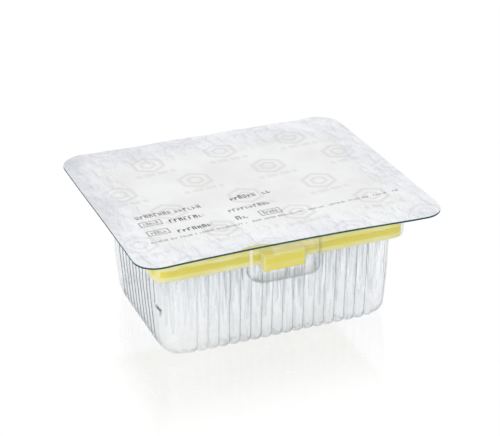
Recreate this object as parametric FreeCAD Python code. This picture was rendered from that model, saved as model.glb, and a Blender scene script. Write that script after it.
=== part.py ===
"""Sealed blister refill of 96 pipette tips: fluted clear tray, tip plate, tips and paper lid.

Millimetres, +Z up. The origin is under the middle of the flange, on the surface the tray stands on.
X runs along the twelve columns of tips, Y along the eight rows, and the plate's tab faces -Y.
"""
import FreeCAD, Part
import math
import os

from FreeCAD import Vector

# ---------------------------------------------------------------- driving dimensions

# sheets
tray_wall = 0.5                 # clear sheet that the tray is drawn from
lid_thickness = 0.2             # sealed paper

# tip pattern
tip_pitch = 9.0
tip_columns = 12
tip_rows = 8

# tip
tip_length = 48.5
tip_collar_height = 8.0         # above the plate's deck
tip_body_diameter = 6.3         # just under the collar
tip_collar_step = 0.45          # collar beyond the body, each side
tip_collar_flare = 0.1          # collar's mouth beyond its foot, each side
tip_shoulder_diameter = 5.4
tip_shoulder_drop = 13.0        # below the plate's deck
tip_waist_diameter = 2.6
tip_waist_drop = 25.0
tip_end_diameter = 1.0
tip_wall = 0.6
tip_end_bore = 0.5

# tip plate
plate_margin_x = 7.0            # beyond the outermost tips' collars
plate_margin_y = 8.8
plate_height = 6.5
plate_corner_radius = 6.0
plate_edge_radius = 2.4         # rounded top edge
plate_deck = 1.8
plate_skirt = 1.6
plate_hole_clearance = 0.15     # each side of a tip's body

# tab at the front of the plate
tab_width = 19.7
tab_offset_x = -1.9
tab_reach = 5.2                 # in front of the skirt
tab_drop = 1.7                  # below the skirt
tab_edge_radius = 0.8

# room above and below the tips
headspace = 2.8                 # tips' mouths to the seal face
tip_end_clearance = 8.0         # tips' ends to the tray's floor

# flange: what it adds to the plate on each side
seal_land_side = 12.3
seal_land_front = 17.5
seal_land_back = 22.5
flange_corner_radius = 11.0

# shallow thumb notch in the paper's front edge
notch_width = 15.5
notch_depth = 2.7
notch_centre_x = -19.5

# upper pocket, which holds the plate
plate_clearance = 0.4           # each side of the skirt at the ledge
upper_draft_deg = 5.0

# lower pocket, which holds the tips' bodies
ledge_width = 3.1               # skirt face to the lower pocket's outer wall
step_height = 24.0              # where the wall changes from its upper to its lower zone
upper_zone_draft = 0.5          # each side, from the ledge to the step
lower_zone_draft = 1.4          # each side, from the step to the base's round
base_round = 3.6                # radius of the round into the base
base_flute_share = 0.45         # how much of a flute's depth is left at the base
lug_depth = 0.5                 # how far the corner columns stand proud below the step
corner_column = 15.8            # virtual corner to the first valley
corner_radius = 9.5
flutes_long = 16                # on the front and on the back
flutes_short = 10               # on each side
flute_depth_upper = 0.8
flute_depth_lower = 1.25

# pocket for the tab
tab_pocket_width = 34.5
tab_pocket_reach = 0.8          # outer face in front of the tab
tab_pocket_drop = 6.5           # underside below the tab
tab_pocket_corner = 7.0         # in plan
tab_pocket_round = 4.0          # along the bottom edge

# ---------------------------------------------------------------- values worked out from them

tip_collar_diameter = tip_body_diameter + 2.0 * tip_collar_step
tip_mouth_diameter = tip_collar_diameter + 2.0 * tip_collar_flare
plate_length = (tip_columns - 1) * tip_pitch + tip_mouth_diameter + 2.0 * plate_margin_x
plate_depth = (tip_rows - 1) * tip_pitch + tip_mouth_diameter + 2.0 * plate_margin_y

flange_length = plate_length + 2.0 * seal_land_side
flange_depth = plate_depth + seal_land_front + seal_land_back
flange_top = tray_wall + tip_end_clearance + tip_length + headspace
pocket_centre_y = (seal_land_front - seal_land_back) / 2.0

plate_top = flange_top - headspace - tip_collar_height
ledge_top = plate_top - plate_height
ledge_under = ledge_top - tray_wall
plate_front = pocket_centre_y - plate_depth / 2.0
tab_front = plate_front - tab_reach
tab_bottom = ledge_top - tab_drop
lower_length = plate_length - 2.0 * ledge_width
lower_depth = plate_depth - 2.0 * ledge_width
total_draft = upper_zone_draft + lower_zone_draft


def column_x(column):
    """Centre of one of the columns of tips, counted from 0 at -X."""
    return (column - (tip_columns - 1) / 2.0) * tip_pitch


def row_y(row):
    """Centre of one of the rows of tips, counted from 0 at the tab side."""
    return pocket_centre_y + (row - (tip_rows - 1) / 2.0) * tip_pitch


# ---------------------------------------------------------------- outlines

def rounded_rectangle(length, depth, radius, centre_x, centre_y, z):
    """Closed wire of four lines and four arcs, the same eight edges at every level."""
    half_x = length / 2.0
    half_y = depth / 2.0
    edges = []
    for quarter, (side_x, side_y) in enumerate(((1, -1), (1, 1), (-1, 1), (-1, -1))):
        centre = Vector(centre_x + side_x * (half_x - radius), centre_y + side_y * (half_y - radius), z)
        start = math.radians(-90.0 + 90.0 * quarter)
        points = [centre + Vector(math.cos(start + turn), math.sin(start + turn), 0) * radius
                  for turn in (0.0, math.pi / 4.0, math.pi / 2.0)]
        if edges:
            edges.append(Part.LineSegment(edges[-1].EndPoint, points[0]))
        edges.append(Part.Arc(*points))
    edges.append(Part.LineSegment(edges[-1].EndPoint, edges[0].StartPoint))
    return Part.Wire([edge.toShape() for edge in edges])


def arc_height(radius, distance):
    """Drop of an arc at a distance along from its crest."""
    return radius - math.sqrt(radius * radius - distance * distance)


def fluted_side(run, count, column, crest, column_inset, flute_depth, radius):
    """Edges of one fluted side, from the end of one corner arc to the start of the next.

    Local x runs along the side about its middle and local y points outwards from the crests.
    Half a flute, a flat and a corner make the smooth column at each end.
    """
    pitch = (run - 2.0 * column) / count
    half = pitch / 2.0
    drop = flute_depth - column_inset
    column_arc = (half * half + drop * drop) / (2.0 * drop)
    end = run / 2.0
    first = column - end
    valley = crest - flute_depth
    flat = crest - column_inset
    shapes = [
        ("line", (radius - end, flat), (first - half, flat)),
        ("arc", (first - half, flat), (first - half / 2.0, flat - arc_height(column_arc, half / 2.0)),
         (first, valley)),
    ]
    for index in range(count):
        x = first + index * pitch
        shapes.append(("arc", (x, valley), (x + half, crest), (x + pitch, valley)))
    shapes.append(("arc", (-first, valley),
                   (half / 2.0 - first, flat - arc_height(column_arc, half / 2.0)), (half - first, flat)))
    shapes.append(("line", (half - first, flat), (end - radius, flat)))
    return shapes


def fluted_outline(inset, column_inset, flute_depth, z):
    """Closed wire of the lower pocket, its crest planes moved in by inset."""
    length = lower_length - 2.0 * inset
    depth = lower_depth - 2.0 * inset
    column = corner_column - inset
    radius = corner_radius - inset
    corner_middle = radius * (1.0 - math.sqrt(0.5)) + column_inset
    edges = []
    for turn in range(4):
        run, other, count = ((length, depth, flutes_long), (depth, length, flutes_short))[turn % 2]
        angle = math.radians(90.0 * turn)
        along = Vector(math.cos(angle), math.sin(angle), 0)
        outward = Vector(math.sin(angle), -math.cos(angle), 0)
        centre = Vector(0, pocket_centre_y, z)

        def place(point):
            return centre + along * point[0] + outward * point[1]

        side = fluted_side(run, count, column, other / 2.0, column_inset, flute_depth, radius + column_inset)
        for kind, *points in side:
            placed = [place(point) for point in points]
            edges.append(Part.LineSegment(*placed) if kind == "line" else Part.Arc(*placed))
        corner = (place((run / 2.0 - radius - column_inset, other / 2.0 - column_inset)),
                  place((run / 2.0 - corner_middle, other / 2.0 - corner_middle)),
                  place((run / 2.0 - column_inset, other / 2.0 - radius - column_inset)))
        edges.append(Part.Arc(*corner))
    return Part.Wire([edge.toShape() for edge in edges])


def loft(wires):
    """Closed solid through wires with equal numbers of edges."""
    return Part.makeLoft(wires, True, True)


# ---------------------------------------------------------------- tray

def lower_pocket(skin):
    """The two zones of the fluted pocket, drawn in by the skin; 0 is the outer face."""
    step = step_height - skin
    top = ledge_under if skin == 0 else ledge_top + skin
    upper = loft([
        fluted_outline(skin + upper_zone_draft, lug_depth, flute_depth_upper, step),
        fluted_outline(skin, lug_depth, flute_depth_upper, top),
    ])
    radius = base_round - skin
    levels = [(step, upper_zone_draft, flute_depth_lower)]
    for angle_deg in (0.0, 30.0, 60.0, 90.0):
        angle = math.radians(angle_deg)
        height = skin + radius * (1.0 - math.sin(angle))
        pull_in = radius * (1.0 - math.cos(angle))
        fade = 1.0 - (1.0 - base_flute_share) * angle_deg / 90.0
        levels.append((height, total_draft + pull_in, flute_depth_lower * fade))
    lower = loft([fluted_outline(skin + inset, 0.0, flute, z) for z, inset, flute in levels])
    return [upper, lower]


def upper_pocket(skin):
    """Drafted pocket for the plate, from the ledge to the seal face."""
    length = plate_length + 2.0 * (plate_clearance + tray_wall - skin)
    depth = plate_depth + 2.0 * (plate_clearance + tray_wall - skin)
    radius = plate_corner_radius + plate_clearance + tray_wall - skin
    bottom = ledge_under + skin
    top = flange_top if skin == 0 else flange_top + tray_wall
    spread = math.tan(math.radians(upper_draft_deg)) * (top - bottom)
    return loft([
        rounded_rectangle(length, depth, radius, 0, pocket_centre_y, bottom),
        rounded_rectangle(length + 2.0 * spread, depth + 2.0 * spread, radius + spread,
                          0, pocket_centre_y, top),
    ])


def tab_pocket(skin):
    """Rounded pocket in front of the plate that the tab hangs in, open to the lower pocket."""
    front = tab_front - tab_pocket_reach + skin
    back = pocket_centre_y - lower_depth / 2.0 + 2.0 * corner_radius
    depth = back - front
    bottom = tab_bottom - tab_pocket_drop + skin
    top = flange_top if skin == 0 else flange_top + tray_wall
    outline = rounded_rectangle(tab_pocket_width - 2.0 * skin, depth, tab_pocket_corner - skin,
                                0, front + depth / 2.0, bottom)
    block = Part.Face(outline).extrude(Vector(0, 0, top - bottom))
    round_radius = tab_pocket_round - skin
    edges = [edge for edge in block.Edges
             if edge.BoundBox.ZMax < bottom + 0.01 and edge.BoundBox.YMin < back - tab_pocket_corner]
    return block.makeFillet(round_radius, edges)


def make_tray():
    """One drawn sheet: the outer faces' solid less the inner faces' solid."""
    flange = Part.Face(rounded_rectangle(flange_length, flange_depth, flange_corner_radius, 0, 0,
                                         flange_top - tray_wall)).extrude(Vector(0, 0, tray_wall))
    outer = flange.multiFuse([upper_pocket(0.0), tab_pocket(0.0)] + lower_pocket(0.0))
    tray = outer.cut([upper_pocket(tray_wall), tab_pocket(tray_wall)] + lower_pocket(tray_wall))
    return tray.removeSplitter()


# ---------------------------------------------------------------- lid

def make_lid():
    """Paper of the flange's outline, with a shallow round notch for a thumb."""
    sheet = Part.Face(rounded_rectangle(flange_length, flange_depth, flange_corner_radius, 0, 0,
                                        flange_top)).extrude(Vector(0, 0, lid_thickness))
    half = notch_width / 2.0
    radius = (half * half + notch_depth * notch_depth) / (2.0 * notch_depth)
    centre = Vector(notch_centre_x, -flange_depth / 2.0 + notch_depth - radius, flange_top - lid_thickness)
    return sheet.cut(Part.makeCylinder(radius, 3.0 * lid_thickness, centre))


# ---------------------------------------------------------------- tip plate

def make_plate():
    """Deck with 96 holes, a skirt all round and a tab in front."""
    body = Part.Face(rounded_rectangle(plate_length, plate_depth, plate_corner_radius, 0,
                                       pocket_centre_y, ledge_top)).extrude(Vector(0, 0, plate_height))
    tab = Part.makeBox(tab_width, tab_reach + plate_skirt, plate_height + tab_drop,
                       Vector(tab_offset_x - tab_width / 2.0, tab_front, tab_bottom))
    tab_edges = [edge for edge in tab.Edges if edge.BoundBox.YMax < tab_front + 0.01]
    tab = tab.makeFillet(tab_edge_radius, tab_edges)
    top_edges = [edge for edge in body.Edges if edge.BoundBox.ZMin > plate_top - 0.01]
    body = body.makeFillet(plate_edge_radius, top_edges)
    hollow = Part.Face(rounded_rectangle(plate_length - 2.0 * plate_skirt, plate_depth - 2.0 * plate_skirt,
                                         plate_corner_radius - plate_skirt, 0, pocket_centre_y,
                                         ledge_top - tab_drop))
    hollow = hollow.extrude(Vector(0, 0, plate_height + tab_drop - plate_deck))
    hole_radius = tip_body_diameter / 2.0 + plate_hole_clearance
    holes = [Part.makeCylinder(hole_radius, 3.0 * plate_deck,
                               Vector(column_x(column), row_y(row), plate_top - 2.0 * plate_deck))
             for column in range(tip_columns) for row in range(tip_rows)]
    return body.fuse(tab).cut([hollow] + holes).removeSplitter()


# ---------------------------------------------------------------- tips

def make_tip():
    """One hollow tip on the Z axis, its collar standing on the plate's deck."""
    top = plate_top + tip_collar_height
    shoulder = plate_top - tip_shoulder_drop
    waist = plate_top - tip_waist_drop
    outside = [
        (tip_end_diameter / 2.0, top - tip_length),
        (tip_waist_diameter / 2.0, waist),
        (tip_shoulder_diameter / 2.0, shoulder),
        (tip_body_diameter / 2.0, plate_top),
        (tip_collar_diameter / 2.0, plate_top),
        (tip_mouth_diameter / 2.0, top),
    ]
    inside = [
        (tip_mouth_diameter / 2.0 - tip_wall, top),
        (tip_body_diameter / 2.0 - tip_wall, plate_top),
        (tip_shoulder_diameter / 2.0 - tip_wall, shoulder),
        (tip_waist_diameter / 2.0 - tip_wall, waist),
        (tip_end_bore / 2.0, top - tip_length),
    ]
    points = [Vector(r, 0, z) for r, z in outside + inside]
    face = Part.Face(Part.makePolygon(points + points[:1]))
    return face.revolve(Vector(0, 0, 0), Vector(0, 0, 1), 360)


def make_tip_column(column):
    """The eight separate tips of one column."""
    tip = make_tip()
    placed = []
    for row in range(tip_rows):
        copy = tip.copy()
        copy.translate(Vector(column_x(column), row_y(row), 0))
        placed.append(copy)
    return Part.Compound(placed)


# ---------------------------------------------------------------- write the pieces

def save(shape, name):
    """Write one node's STEP file and say what it holds."""
    shape.exportStep(os.path.join("parts", name + ".step"))
    print(name, "solids", len(shape.Solids), "faces", len(shape.Faces), "valid", shape.isValid(),
          "volume", round(shape.Volume, 1))


os.makedirs("parts", exist_ok=True)
save(make_tray(), "blister_tray")
save(make_lid(), "lid_film")
save(make_plate(), "tip_plate")
for column in range(tip_columns):
    save(make_tip_column(column), "tips_column_%02d" % (column + 1))
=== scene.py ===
"""Sealed blister refill of pipette tips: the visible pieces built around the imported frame.

Metres, +Z up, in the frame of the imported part. The tray is one thermoformed sheet with a fluted pocket,
the lid is coated paper sealed to its flange, and the plate and its 96 tips stand inside.
"""

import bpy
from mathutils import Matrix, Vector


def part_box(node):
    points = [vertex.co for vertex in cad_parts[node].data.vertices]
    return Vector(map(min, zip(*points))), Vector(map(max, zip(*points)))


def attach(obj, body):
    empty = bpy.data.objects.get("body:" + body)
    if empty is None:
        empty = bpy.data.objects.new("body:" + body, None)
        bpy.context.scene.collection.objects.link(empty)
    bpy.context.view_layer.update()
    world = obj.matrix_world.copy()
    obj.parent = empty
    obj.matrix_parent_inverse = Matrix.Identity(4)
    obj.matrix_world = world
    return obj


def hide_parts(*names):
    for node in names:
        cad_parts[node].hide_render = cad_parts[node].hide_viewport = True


bl_info = {
    "name": "Tip refill pack",
    "version": (1, 0, 0),
    "blender": (4, 5, 0),
    "location": "3D View > Sidebar > Refill",
    "description": "Builds a sealed blister refill of pipette tips around its packed frame",
    "category": "Object",
}

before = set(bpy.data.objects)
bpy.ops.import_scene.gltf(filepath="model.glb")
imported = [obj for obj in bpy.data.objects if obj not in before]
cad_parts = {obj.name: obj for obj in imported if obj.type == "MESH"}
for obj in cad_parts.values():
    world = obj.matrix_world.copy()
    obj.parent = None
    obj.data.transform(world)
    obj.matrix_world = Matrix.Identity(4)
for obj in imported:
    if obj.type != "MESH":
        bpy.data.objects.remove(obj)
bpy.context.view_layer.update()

import math
from functools import partial

import bmesh
import bpy
from bpy.props import FloatProperty, FloatVectorProperty, IntProperty, PointerProperty
from bpy.types import Operator, Panel, PropertyGroup
from mathutils import Matrix, Vector

MM = 0.001
# Places nearer than this count as one.
CLOSE = 0.01 * MM
# The middle of both pockets stands this far from the flange's.
POCKET_Y = -2.5 * MM


# ---------------------------------------------------------------- colour and nodes


def from_hex(code):
    """Linear red, green and blue of an sRGB colour written as #RRGGBB."""
    channels = [int(code[i : i + 2], 16) / 255.0 for i in (1, 3, 5)]
    return tuple(c / 12.92 if c <= 0.04045 else ((c + 0.055) / 1.055) ** 2.4 for c in channels)


def add_node(tree, kind, inputs=None, **settings):
    """Add one node. inputs gives each socket a value, another node's socket, or a node, which gives its first."""
    node = tree.nodes.new("ShaderNode" + kind)
    for name, value in settings.items():
        setattr(node, name, value)
    for socket, value in (inputs or {}).items():
        entry = node.inputs[socket]
        if isinstance(value, (bpy.types.Node, bpy.types.NodeSocket)):
            tree.links.new(value.outputs[0] if isinstance(value, bpy.types.Node) else value, entry)
        else:
            entry.default_value = (*value, 1.0) if entry.type == "RGBA" and len(value) == 3 else value
    return node


# Settings of a map range node whose change has soft ends.
SOFT = {"interpolation_type": "SMOOTHSTEP"}


def empty_tree(owner):
    """Clear the nodes of a material or a world, and give what adds a node to them."""
    owner.use_nodes = True
    owner.node_tree.nodes.clear()
    return partial(add_node, owner.node_tree)


def new_material(name):
    """An empty node material, and what adds a node to it."""
    material = bpy.data.materials.new(name)
    return material, empty_tree(material)


# ---------------------------------------------------------------- settings


class TraySettings(PropertyGroup):
    """Sizes and colours of the drawn tray."""

    wall: FloatProperty(name="Sheet", description="Thickness of the drawn sheet", default=0.0005,
                        min=0.0002, max=0.002, unit="LENGTH", precision=5)
    pocket_length: FloatProperty(name="Pocket length", description="Length over the flutes at the ledge",
                                 default=0.1142, unit="LENGTH", precision=5)
    pocket_depth: FloatProperty(name="Pocket depth", description="Depth over the flutes at the ledge",
                                default=0.0818, unit="LENGTH", precision=5)
    upper_length: FloatProperty(name="Upper length", description="Length of the upper pocket at the ledge",
                                default=0.1222, unit="LENGTH", precision=5)
    upper_depth: FloatProperty(name="Upper depth", description="Depth of the upper pocket at the ledge",
                               default=0.0898, unit="LENGTH", precision=5)
    upper_corner: FloatProperty(name="Upper corner", description="Corner radius of the upper pocket",
                                default=0.0069, unit="LENGTH", precision=5)
    upper_draft: FloatProperty(name="Upper draft", description="Lean of the upper pocket's wall",
                               default=math.radians(5.0), subtype="ANGLE")
    ledge_height: FloatProperty(name="Ledge", description="Height of the ledge's underside",
                                default=0.042, unit="LENGTH", precision=5)
    step_height: FloatProperty(name="Step", description="Height where the flutes change depth",
                               default=0.024, unit="LENGTH", precision=5)
    upper_inset: FloatProperty(name="Upper zone draft", description="Draft from the ledge to the step",
                               default=0.0005, unit="LENGTH", precision=5)
    lower_inset: FloatProperty(name="Lower zone draft", description="Draft from the step to the base's round",
                               default=0.0014, unit="LENGTH", precision=5)
    base_round: FloatProperty(name="Base round", description="Radius of the wall's round into the base",
                              default=0.0036, unit="LENGTH", precision=5)
    base_share: FloatProperty(name="Flutes at the base", description="Share of the flutes' depth left at the base",
                              default=1.0, min=0.0, max=1.0, subtype="FACTOR")
    corner_round: FloatProperty(name="Base round, corners", description="Radius of the corners' round into the base",
                                default=0.0062, unit="LENGTH", precision=5)
    flute_pitch: FloatProperty(name="Flute pitch", description="Flute pitch on the long sides",
                               default=0.0052, unit="LENGTH", precision=5)
    flute_shift: FloatProperty(name="Flute shift", description="How far the long sides' flutes stand off the middle",
                               default=0.0017, unit="LENGTH", precision=5)
    rim: FloatProperty(name="Flange sheet", description="Thickness of the flange, which isn't drawn thinner",
                       default=0.00085, unit="LENGTH", precision=5)
    flutes_long: IntProperty(name="Flutes, long side", description="Flutes on the front and on the back",
                             default=16, min=2)
    flutes_short: IntProperty(name="Flutes, short side", description="Flutes on each end",
                              default=10, min=2)
    flute_upper: FloatProperty(name="Flute depth, upper", description="Depth of the flutes above the step",
                               default=0.0015, unit="LENGTH", precision=5)
    flute_ends: FloatProperty(name="Flutes, short sides", description="Depth of the short sides' flutes as a share",
                              default=0.6, min=0.0, max=1.0, subtype="FACTOR")
    flute_lower: FloatProperty(name="Flute depth, lower", description="Depth of the flutes below the step",
                               default=0.0020, unit="LENGTH", precision=5)
    lug: FloatProperty(name="Lug", description="How far the denesting lugs stand proud of the short sides' ends",
                       default=0.0009, unit="LENGTH", precision=5)
    column: FloatProperty(name="Corner column", description="Virtual corner to the first valley",
                          default=0.0158, unit="LENGTH", precision=5)
    corner: FloatProperty(name="Corner radius", description="Corner radius of the fluted pocket",
                          default=0.0095, unit="LENGTH", precision=5)
    flange_corner: FloatProperty(name="Flange corner", description="Corner radius of the flange",
                                 default=0.011, unit="LENGTH", precision=5)
    tab_width: FloatProperty(name="Tab pocket width", description="Width of the pocket for the plate's tab",
                             default=0.0345, unit="LENGTH", precision=5)
    tab_front: FloatProperty(name="Tab pocket front", description="Front face of the tab's pocket",
                             default=-0.0525, unit="LENGTH", precision=5)
    tab_bottom: FloatProperty(name="Tab pocket bottom", description="Underside of the tab's pocket",
                              default=0.0343, unit="LENGTH", precision=5)
    tab_corner: FloatProperty(name="Tab pocket corner", description="Corner radius of the tab's pocket in plan",
                              default=0.007, unit="LENGTH", precision=5)
    tab_round: FloatProperty(name="Tab pocket round", description="Round along the bottom of the tab's pocket",
                             default=0.004, unit="LENGTH", precision=5)
    clear: FloatVectorProperty(name="Clear", description="What a face-on sheet lets through", subtype="COLOR",
                               size=3, default=from_hex("#FDFEFF"), min=0.0, max=1.0)
    grazing: FloatVectorProperty(name="Grazing", description="What an edge-on sheet lets through",
                                 subtype="COLOR", size=3, default=from_hex("#485966"), min=0.0, max=1.0)
    # this colour also tints the painted shade in the tab pocket's rounds and on the lug's shoulder
    edge: FloatVectorProperty(name="Cut edge", description="Colour gathered in the sheet's cut edge",
                              subtype="COLOR", size=3, default=from_hex("#1A4448"), min=0.0, max=1.0)


class LidSettings(PropertyGroup):
    """Sizes and colours of the sealed paper."""

    thickness: FloatProperty(name="Paper", description="Thickness of the coated paper", default=0.0002,
                             unit="LENGTH", precision=5)
    notch_width: FloatProperty(name="Notch width", description="Width of the thumb notch", default=0.0155,
                               unit="LENGTH", precision=5)
    notch_depth: FloatProperty(name="Notch depth", description="Depth of the thumb notch", default=0.0027,
                               unit="LENGTH", precision=5)
    notch_x: FloatProperty(name="Notch place", description="Middle of the thumb notch", default=-0.0195,
                           unit="LENGTH", precision=5)
    relief: FloatProperty(name="Relief", description="How deep the paper dips between its seals",
                          default=0.0004, unit="LENGTH", precision=5)
    paper: FloatVectorProperty(name="Paper", description="Colour of the paper", subtype="COLOR", size=3,
                               default=from_hex("#F7F7F7"), min=0.0, max=1.0)
    seal: FloatVectorProperty(name="Seal", description="Colour of the paper where it is sealed down", subtype="COLOR",
                              size=3, default=from_hex("#F7F7F9"), min=0.0, max=1.0)
    # the motif's colour is also the colour of the painted shade between the seals
    motif: FloatVectorProperty(name="Tint", description="Colour of the faint repeated motif", subtype="COLOR",
                               size=3, default=from_hex("#D9D8D5"), min=0.0, max=1.0)
    # the seal's tint is also the colour of the painted shade in the seal and in its creases
    cool: FloatVectorProperty(name="Seal's tint", description="Colour of the motif and creases in the seal",
                              subtype="COLOR", size=3, default=from_hex("#CFD2D8"), min=0.0, max=1.0)
    ink: FloatVectorProperty(name="Ink", description="Colour of the print", subtype="COLOR", size=3,
                             default=from_hex("#4A4A4C"), min=0.0, max=1.0)


class PlasticSettings(PropertyGroup):
    """Colours of the plate and of the tips."""

    plate: FloatVectorProperty(name="Plate", description="Colour of the moulded plate", subtype="COLOR",
                               size=3, default=from_hex("#EBDD24"), min=0.0, max=1.0)
    # the colour of the painted highlights on the plate's rounded edges and ends
    painted_highlight: FloatVectorProperty(name="Plate edges", description="Paler colour of the plate's thin edges",
                               subtype="COLOR", size=3, default=from_hex("#F7F3B8"), min=0.0, max=1.0)
    tip: FloatVectorProperty(name="Tips", description="Colour of the natural tips", subtype="COLOR",
                             size=3, default=from_hex("#FAFBFC"), min=0.0, max=1.0)
    outline: FloatVectorProperty(name="Tip outlines", description="Darker tone where a tip turns edge-on",
                                 subtype="COLOR", size=3, default=from_hex("#7A8996"), min=0.0, max=1.0)


class StageSettings(PropertyGroup):
    """Lights of the stage."""

    key: FloatProperty(name="Key light", description="Power of the key light", default=3.0, min=0.0, unit="POWER")
    fill: FloatProperty(name="Room light", description="Strength of the even light all round", default=1.0,
                        min=0.0)


# ---------------------------------------------------------------- mesh helpers


def deselect_all():
    """Leave edit mode and select nothing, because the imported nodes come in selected."""
    if bpy.context.object is not None and bpy.context.object.mode != "OBJECT":
        bpy.ops.object.mode_set(mode="OBJECT")
    bpy.ops.object.select_all(action="DESELECT")


def only(piece):
    """Make one object the active and the only selected one."""
    deselect_all()
    piece.select_set(True)
    bpy.context.view_layer.objects.active = piece
    return piece


def named(name):
    """Give the new primitive its name and put its place into its mesh."""
    piece = bpy.context.object
    piece.name = name
    piece.data.name = name
    bpy.ops.object.transform_apply(location=True, rotation=True, scale=True)
    return piece


def progress(value, start, end):
    """How far a value has come on its way from start to end, from 0 to 1."""
    return max(0.0, min(1.0, (value - start) / (end - start)))


def select_edges(piece, test):
    """In edit mode, select the edges that pass a test, and nothing else."""
    bpy.ops.mesh.select_mode(type="EDGE")
    bpy.ops.mesh.select_all(action="DESELECT")
    cage = bmesh.from_edit_mesh(piece.data)
    for edge in cage.edges:
        if test(edge):
            edge.select_set(True)
    cage.select_flush_mode()
    bmesh.update_edit_mesh(piece.data)


def middle(element):
    """Middle of an edge or a face."""
    total = Vector((0.0, 0.0, 0.0))
    for vertex in element.verts:
        total += vertex.co
    return total / len(element.verts)


def stands_up(edge):
    """Whether an edge of a box stands up."""
    return abs((edge.verts[0].co - edge.verts[1].co).z) > 1 * MM


def arc_radius(width, height):
    """Radius of an arc that rises by its height over its width."""
    half = width / 2.0
    return (half * half + height * height) / (2.0 * height)


def finish_modifier(piece, kind, name, **settings):
    """Add one modifier, set it and apply it."""
    only(piece)
    modifier = piece.modifiers.new(name, kind)
    for key, value in settings.items():
        setattr(modifier, key, value)
    bpy.ops.object.modifier_apply(modifier=name)


# ---------------------------------------------------------------- tray

# Where a flute is cut, as shares of its width. The cuts crowd towards the valleys, which are tight.
FLUTE_CUTS = (0.0, 0.045, 0.1, 0.2, 0.35, 0.5, 0.65, 0.8, 0.9, 0.955)
# The sheet fills a valley's point by this much, over this share of a flute's width on each side.
VALLEY_FILL, VALLEY_SHARE = 0.16 * MM, 0.07
# Each corner is turned in this many steps, and a lug fades out over this share of it.
CORNER_STEPS, LUG_TURN = 9, 0.3
# Radius of the ledge's round into the upper pocket's wall.
LEDGE_ROUND = 0.9 * MM


def flute_drop(share, pitch, depth):
    """How far a flute's face lies behind its crest at a share of its width: an arc with a filled valley."""
    if depth <= 0.0:
        return 0.0
    radius = arc_radius(pitch, depth)
    distance = (share - 0.5) * pitch
    drop = radius - math.sqrt(max(radius * radius - distance * distance, 0.0))
    near = max(0.0, 1.0 - min(share, 1.0 - share) / VALLEY_SHARE)
    return drop - VALLEY_FILL * near * near


def tray_stations(tray):
    """The places round the tray at which every ring has a vertex, side by side anticlockwise."""
    stations = []
    for side in range(4):
        run, count = ((tray.pocket_length, tray.flutes_long), (tray.pocket_depth, tray.flutes_short))[side % 2]
        pitch = (run - 2.0 * tray.column) / count if side % 2 else tray.flute_pitch
        shift = (tray.flute_shift, 0.0, -tray.flute_shift, 0.0)[side]
        first, last = shift - count * pitch / 2.0, shift + count * pitch / 2.0
        stations += [(side, "flat", (first - pitch / 2.0, share), 0.0, pitch) for share in (1.0, 0.5)]
        stations += [(side, "half", first + (share - 1.0) * pitch, share, pitch)
                     for share in FLUTE_CUTS if share >= 0.5]
        for flute in range(count):
            stations += [(side, "flute", first + (flute + share) * pitch, share, pitch) for share in FLUTE_CUTS]
        stations += [(side, "half", last + share * pitch, share, pitch) for share in FLUTE_CUTS if share <= 0.5]
        stations += [(side, "flat", (last + pitch / 2.0, share), 0.0, pitch) for share in (0.5, 1.0)]
        stations += [(side, "corner", turn / CORNER_STEPS, 0.0, pitch) for turn in range(1, CORNER_STEPS)]
    return stations


def side_axes(side):
    """Along and outward of one side, as unit vectors in plan."""
    angle = math.radians(90.0 * side)
    return Vector((math.cos(angle), math.sin(angle), 0.0)), Vector((math.sin(angle), -math.cos(angle), 0.0))


def flat_place(along_at, end):
    """How far along its side a place on the flat beside the flutes lies."""
    start, share = along_at
    return start + (math.copysign(end, start) - start) * share


def fluted_point(tray, station, inset, column_inset, depth):
    """Place of a station on the fluted pocket, drawn in by inset."""
    side, kind, along_at, share, pitch = station
    run, other = ((tray.pocket_length, tray.pocket_depth), (tray.pocket_depth, tray.pocket_length))[side % 2]
    along, outward = side_axes(side)
    crest = other / 2.0 - inset
    end = run / 2.0 - tray.corner
    depth *= tray.flute_ends if side % 2 else 1.0
    if kind == "flute":
        return along * along_at + outward * (crest - flute_drop(share, pitch, depth))
    # the lug is the short side's end column, and fades out on its way round the corner
    lug = column_inset if side % 2 else 0.0
    if kind == "half":
        return along * along_at + outward * (crest - lug - flute_drop(share, pitch, depth - lug))
    if kind == "flat":
        return along * flat_place(along_at, end) + outward * (crest - lug)
    near = along_at if side % 2 else 1.0 - along_at
    lug = column_inset * max(0.0, 1.0 - near / LUG_TURN) ** 0.5
    radius = tray.corner - inset - lug
    turn = math.radians(90.0 * along_at)
    centre = other / 2.0 - tray.corner
    return along * (end + radius * math.sin(turn)) + outward * (centre + radius * math.cos(turn))


def rounded_point(station, length, depth, corner):
    """Place of the same station on a plain rounded rectangle."""
    side, kind, along_at = station[:3]
    run, other = ((length, depth), (depth, length))[side % 2]
    along, outward = side_axes(side)
    end = run / 2.0 - corner
    if kind in ("flute", "half"):
        return along * along_at + outward * (other / 2.0)
    if kind == "flat":
        return along * flat_place(along_at, end) + outward * (other / 2.0)
    turn = math.radians(90.0 * along_at)
    return along * (end + corner * math.sin(turn)) + outward * (other / 2.0 - corner + corner * math.cos(turn))


def base_radius(tray, station):
    """The round into the base is tight under the flutes and wider under the corner columns."""
    kind, along_at = station[1], station[2]
    share = {"flute": 0.0, "half": 0.15, "corner": 1.0}.get(kind, 0.0)
    if kind == "flat":
        share = 0.3 + 0.5 * along_at[1]
    return tray.base_round + (tray.corner_round - tray.base_round) * share


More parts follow.
